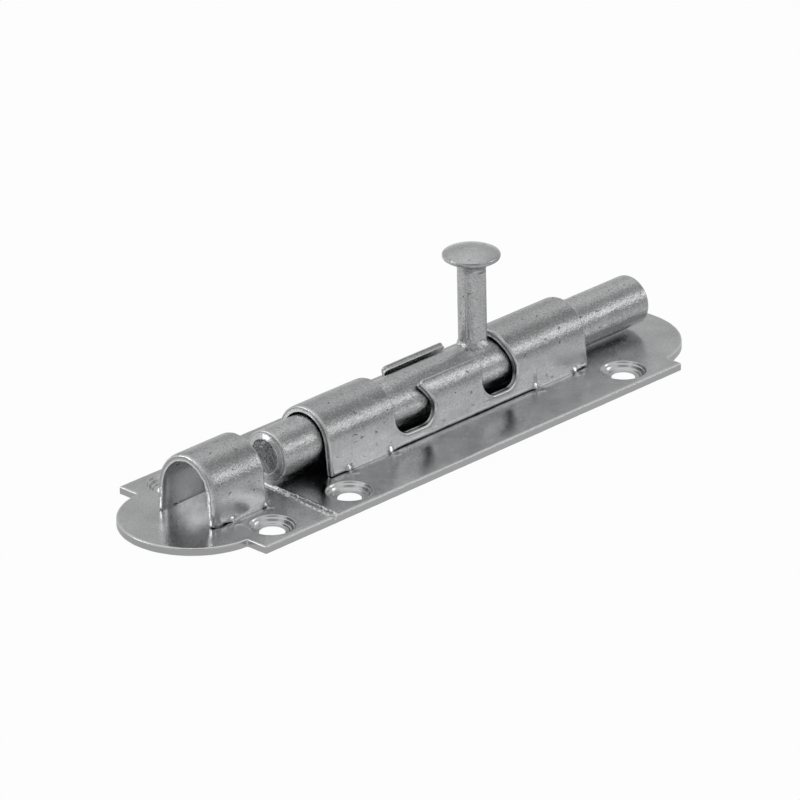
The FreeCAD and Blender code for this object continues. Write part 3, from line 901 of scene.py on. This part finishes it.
def zincFinish(name, look):
    material = bpy.data.materials.new(name)
    material.use_nodes = True
    tree = material.node_tree
    shader = tree.nodes["Principled BSDF"]
    shader.inputs["Metallic"].default_value = 1.0
    place = addNode(tree, "TexCoord", {}, "Object")
    scaled = addNode(tree, "Mapping", {"Vector": place, "Scale": (1 / mm, 1 / mm, 1 / mm)})

    def field(size, detail, stretch=None, roughness=0.55):
        source = addNode(tree, "Mapping", {"Vector": scaled, "Scale": stretch}) if stretch else scaled
        inputs = {"Vector": source, "Scale": 1 / size, "Detail": detail, "Roughness": roughness}
        return addNode(tree, "TexNoise", inputs, "Fac")

    def spread(*limits):
        return addNode(tree, "MapRange", rangeInputs(*limits))

    def combine(operation, first, second):
        return addNode(tree, "Math", {0: first, 1: second}, operation=operation)

    def plus(first, second):
        return combine("ADD", first, second)

    def times(first, second):
        return combine("MULTIPLY", first, second)

    def blendColour(share, first, second):
        first, second = ((*c, 1) if isinstance(c, tuple) else c for c in (first, second))
        return addNode(tree, "Mix", {0: share, 6: first, 7: second}, 2, data_type="RGBA")

    def bumped(height, depth, **below):
        return addNode(tree, "Bump", {"Height": height, "Distance": depth * mm, **below})

    edge = addNode(tree, "Attribute", {}, "Fac", attribute_name="cut")
    bend = addNode(tree, "Attribute", {}, "Fac", attribute_name="bend")
    cut = combine("MINIMUM", edge, 1.0)
    sheared = spread(edge, 1.0, 2.0)
    patches = spread(field(look["patchSize"], 3), 0.35, 0.65)
    grain = field(look["grainSize"], 3, roughness=0.65)
    pits = spread(field(look["pitSize"], 2, stretch=(0.6, 1, 1)), look["pitLevel"], look["pitLevel"] + 0.07)
    fine = field(look["grainSize"] * 0.55, 2)
    lumps = field(look["grainSize"] * 2.6, 2)
    streaks = field(look["grainSize"] * 1.4, 3, stretch=(0.12, 1, 1))
    scuffs = spread(field(0.55, 2, stretch=(0.3, 1, 1)), look["scuffLevel"], look["scuffLevel"] + 0.06)

    colour = blendColour(patches, look["pale"], look["dull"])
    dusty = times(spread(grain, 0.3, 0.7), plus(times(bend, 0.35), 0.12))
    colour = blendColour(dusty, colour, look["dull"])
    contrast = plus(times(bend, look["bendSpeckle"]), look["speckle"])
    speckle = times(combine("SUBTRACT", field(0.36, 3, roughness=0.7), 0.5), contrast)
    colour = addNode(tree, "VectorMath", {0: colour, "Scale": plus(speckle, 1.0)}, operation="SCALE")
    pepper = times(spread(field(0.3, 2), 0.6, 0.7), plus(times(bend, look["bendPepper"]), look["pepper"]))
    colour = blendColour(pepper, colour, look["pit"])
    colour = blendColour(times(scuffs, 0.4), colour, look["bright"])
    colour = blendColour(pits, colour, look["pit"])
    colour = blendColour(times(cut, 0.75), colour, look["bright"])
    colour = blendColour(sheared, colour, look["sheared"])
    tree.links.new(colour, shader.inputs["Base Color"])

    roughest = look["roughness"] + look["roughSpread"]
    rough = spread(field(look["patchSize"] * 0.35, 3), 0.3, 0.7, look["roughness"], roughest)
    for source, amount in ((bend, look["bendRoughness"]), (cut, look["cutRoughness"]), (pits, 0.2)):
        rough = plus(rough, times(source, amount))
    tree.links.new(rough, shader.inputs["Roughness"])

    strength = plus(times(bend, look["bendGrain"] / look["grainDepth"]), 1.0)
    strength = plus(strength, times(cut, look["cutGrain"] / look["grainDepth"]))
    height = plus(times(grain, strength), times(fine, 0.3))
    normal = bumped(field(look["waveSize"], 2), look["waveDepth"])
    normal = bumped(times(lumps, plus(bend, 0.2)), look["lumpDepth"], Normal=normal)
    normal = bumped(streaks, look["draw"], Normal=normal)
    normal = bumped(height, look["grainDepth"], Normal=normal)
    normal = bumped(combine("SUBTRACT", 1.0, pits), look["pitDepth"], Normal=normal)
    tree.links.new(normal, shader.inputs["Normal"])
    return material


def fitPiece(piece, material, node, body):
    piece.data.materials.append(material)
    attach(piece, body)
    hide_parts(node)


finishes = {}
for column, name in enumerate(zincNames):
    finishes[name] = zincFinish(name + "Zinc", {label: row[column] for label, row in zincLooks.items()})
print("finishes:", ", ".join(finishes))

fitPiece(makePlate(), finishes["plate"], "base_plate", "plate")
housing = makeSheet("guideHousing", housingLook, [windowLoop(housingLook)])
fitPiece(housing, finishes["pressed"], "guide_housing", "plate")
keeper = makeSheet("keeperStaple", keeperLook, [])
fitPiece(keeper, finishes["pressed"], "keeper_staple", "plate")
fitPiece(makeRod(), finishes["bar"], "bolt_rod", "knob")  # welded to the knob, so it turns too
fitPiece(makeKnob(), finishes["bar"], "knob_stud", "knob")


# Floor and light, in metres and degrees

stageLook = {
    "floorSize": 6.0,
    "floorZ": -0.00006,
    "floorColour": (0.9, 0.9, 0.9),
    "whiteShare": 0.96,  # this much of the paper is plain white, and the rest takes the shadow
    # near and far reach, and the paper's level there as metal sees it; behind the bolt it stays bright
    "glow": (0.03, 0.17, 0.6, 0.32),
    "glowBehind": (0.02, 0.1, 0.4, 0.78),
    "skyStrength": 0.66,
    # from straight down (0) to straight up (1), and level
    "skyStops": ((0.0, 0.9), (0.47, 1.0), (0.52, 0.95), (0.58, 0.76), (0.7, 0.72), (0.82, 0.95), (1.0, 1.1)),
    # azimuth, elevation, inner and outer reach, and how much each card takes away (below zero, adds)
    "cards": ((66, 42, 8, 26, 0.55), (20, 62, 6, 22, 0.15), (-46, 25, 20, 40, 0.5), (41, 0, 12, 32, 0.55),
              (50, 32, 2, 14, -0.5)),
    # name, azimuth, elevation, distance, width, height, power
    "softboxes": (
        ("keyBox", 44, 19.5, 0.55, 0.34, 0.12, 0.155),
        ("leftBox", -130, 23, 0.55, 0.24, 0.15, 0.23),
    ),
}


def direction(azimuth, elevation):
    a, e = math.radians(azimuth), math.radians(elevation)
    return Vector((math.sin(a) * math.cos(e), -math.cos(a) * math.cos(e), math.sin(e)))


def makeFloor():
    look = stageLook
    half, z = look["floorSize"] / 2, look["floorZ"]
    mesh = bpy.data.meshes.new("studioFloor")
    corners = [(-half, -half, z), (half, -half, z), (half, half, z), (-half, half, z)]
    mesh.from_pydata(corners, [], [(0, 1, 2, 3)])
    floor = bpy.data.objects.new("studioFloor", mesh)
    bpy.context.scene.collection.objects.link(floor)
    material = bpy.data.materials.new("floorPaper")
    material.use_nodes = True
    tree = material.node_tree
    tree.nodes.clear()

    def highest(first, second):
        return addNode(tree, "Math", {0: first, 1: second}, operation="MAXIMUM")

    rays = tree.nodes.new("ShaderNodeLightPath").outputs
    place = addNode(tree, "TexCoord", {}, "Object")
    reach = addNode(tree, "VectorMath", {0: place}, "Value", operation="LENGTH")
    falling = addNode(tree, "MapRange", rangeInputs(reach, *look["glow"]), interpolation_type="SMOOTHSTEP")
    depth = addNode(tree, "SeparateXYZ", {"Vector": place}, "Y")
    behind = addNode(tree, "MapRange", rangeInputs(depth, *look["glowBehind"]))
    level = highest(highest(behind, falling), rays["Is Camera Ray"])
    seen = highest(rays["Is Camera Ray"], rays["Is Glossy Ray"])
    share = addNode(tree, "Math", {0: seen, 1: look["whiteShare"]}, operation="MULTIPLY")
    paper = addNode(tree, "BsdfDiffuse", {"Color": (*look["floorColour"], 1)})
    white = addNode(tree, "Emission", {"Strength": level})
    surface = addNode(tree, "MixShader", {0: share, 1: paper, 2: white})
    tree.links.new(surface, tree.nodes.new("ShaderNodeOutputMaterial").inputs["Surface"])
    floor.data.materials.append(material)


def makeWorld():
    look = stageLook
    world = bpy.data.worlds.new("studio")
    bpy.context.scene.world = world
    world.use_nodes = True
    tree = world.node_tree
    tree.nodes.clear()
    place = addNode(tree, "TexCoord", {}, "Generated")
    up = addNode(tree, "SeparateXYZ", {"Vector": place}, "Z")
    tone = addNode(tree, "ValToRGB", {"Fac": addNode(tree, "MapRange", rangeInputs(up, -1.0, 1.0))})
    bands = tone.node.color_ramp
    bands.interpolation = "EASE"
    while len(bands.elements) < len(look["skyStops"]):
        bands.elements.new(0.5)
    for element, (position, level) in zip(bands.elements, look["skyStops"]):
        element.position = position
        element.color = (level, level, level, 1)
    for azimuth, elevation, inner, outer, loss in look["cards"]:
        facing = {0: place, 1: direction(azimuth, elevation)}
        dot = addNode(tree, "VectorMath", facing, "Value", operation="DOT_PRODUCT")
        start, end = math.cos(math.radians(outer)), math.cos(math.radians(inner))
        limits = rangeInputs(dot, start, end, 1.0, 1.0 - loss)
        card = addNode(tree, "MapRange", limits, interpolation_type="SMOOTHSTEP")
        tone = addNode(tree, "Mix", {0: 1.0, 6: tone, 7: card}, 2, data_type="RGBA", blend_type="MULTIPLY")
    sky = addNode(tree, "Background", {"Color": tone, "Strength": look["skyStrength"]})
    white = addNode(tree, "Background", {"Color": (1, 1, 1, 1)})
    camera = addNode(tree, "LightPath", {}, "Is Camera Ray")
    surface = addNode(tree, "MixShader", {0: camera, 1: sky, 2: white})
    tree.links.new(surface, tree.nodes.new("ShaderNodeOutputWorld").inputs["Surface"])


def makeSoftboxes():
    for name, azimuth, elevation, distance, width, height, power in stageLook["softboxes"]:
        lamp = bpy.data.lights.new(name, "AREA")
        lamp.shape = "RECTANGLE"
        lamp.size, lamp.size_y = width, height
        lamp.energy = power
        holder = bpy.data.objects.new(name, lamp)
        aim = direction(azimuth, elevation)
        holder.location = aim * distance
        holder.rotation_mode = "QUATERNION"
        holder.rotation_quaternion = aim.to_track_quat("Z", "Y")
        bpy.context.scene.collection.objects.link(holder)


cameraLook = {
    "azimuth": -45.686,
    "elevation": 24.118,
    "roll": -0.617,
    "target": (8.587, 9.66, 0.0),
    "distance": 1212.5,  # from the target
    "lens": 316.04,
}


def makeCamera():
    look = cameraLook
    azimuth, roll = math.radians(look["azimuth"]), math.radians(look["roll"])
    back = direction(look["azimuth"], look["elevation"])
    right = Vector((math.cos(azimuth), math.sin(azimuth), 0))
    up = back.cross(right)
    across = math.cos(roll) * right + math.sin(roll) * up
    upward = -math.sin(roll) * right + math.cos(roll) * up
    spot = (Vector(look["target"]) + back * look["distance"]) * mm
    data = bpy.data.cameras.new("photoCamera")
    data.lens = look["lens"]
    data.sensor_width = 36.0
    data.clip_start, data.clip_end = 0.05, 20.0
    camera = bpy.data.objects.new("photoCamera", data)
    camera.matrix_world = Matrix([(*row, 0) for row in (across, upward, back)] + [(*spot, 1)]).transposed()
    bpy.context.scene.collection.objects.link(camera)
    bpy.context.scene.camera = camera


makeFloor()
makeWorld()
makeSoftboxes()
makeCamera()
bpy.context.scene.view_settings.view_transform = "Standard"
print("stage ready")
